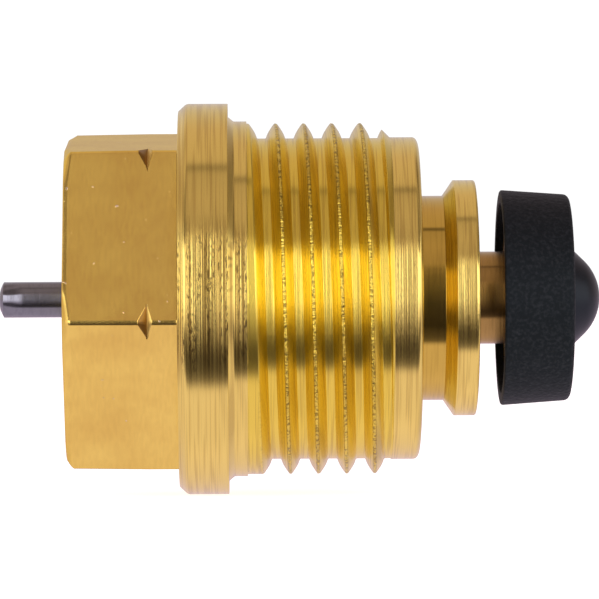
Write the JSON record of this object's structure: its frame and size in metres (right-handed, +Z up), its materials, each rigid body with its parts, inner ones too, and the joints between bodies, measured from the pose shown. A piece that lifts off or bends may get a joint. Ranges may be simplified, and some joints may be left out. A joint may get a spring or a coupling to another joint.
{
  "type": "thermostatic radiator valve insert",
  "caption": "Screw-in radiator valve insert: brass hexagon and threaded bonnet, steel push pin, sprung brass spindle and black rubber seal disc.",
  "frame": {"origin": "on the axis, in the plane of the flange's seating face, which meets the valve body", "axes": "+X along the axis from the push pin to the seal disc, +Z up; one hexagon corner lies 7.2 degrees below -Y"},
  "size_m": [0.0322, 0.0208, 0.0208],
  "materials": {
    "turned_brass": "machined, fine turning marks",
    "spindle_brass": "drawn and ground, slightly redder",
    "ground_stainless": "ground",
    "spring_steel": "drawn stainless wire and strip",
    "epdm_rubber": "moulded matte",
    "nitrile_rubber": "moulded, greased",
    "black_plastic": "moulded, semi-gloss"
  },
  "bodies": {
    "bonnet_assembly": {"bonnet": "turned_brass", "guide_bush": "turned_brass", "gland_nut": "turned_brass", "gland_washer": "turned_brass", "gland_o_ring": "nitrile_rubber", "stem_o_ring": "nitrile_rubber", "o_ring_retainer": "turned_brass", "return_spring": "spring_steel"},
    "spindle_assembly": {"spindle": "spindle_brass", "spring_clip": "spring_steel", "spring_plate": "spring_steel", "seal_backing_plate": "spindle_brass", "seal_disc": "epdm_rubber", "retaining_nose": "black_plastic"},
    "push_pin": {"push_pin": "ground_stainless"}
  },
  "joints": [
    {"name": "spindle_slide", "type": "slide", "parent": "bonnet_assembly", "child": "spindle_assembly", "axis": [1, 0, 0], "range_m": [0, 0.003], "stiffness_N_per_m": 3500, "springref_m": -0.0063, "deforming": ["return_spring"]},
    {"name": "push_pin_slide", "type": "slide", "parent": "bonnet_assembly", "child": "push_pin", "axis": [1, 0, 0], "range_m": [0, 0.003]}
  ],
  "couplings": [
    {"joint": "push_pin_slide", "follows": "spindle_slide", "ratio": 1}
  ]
}
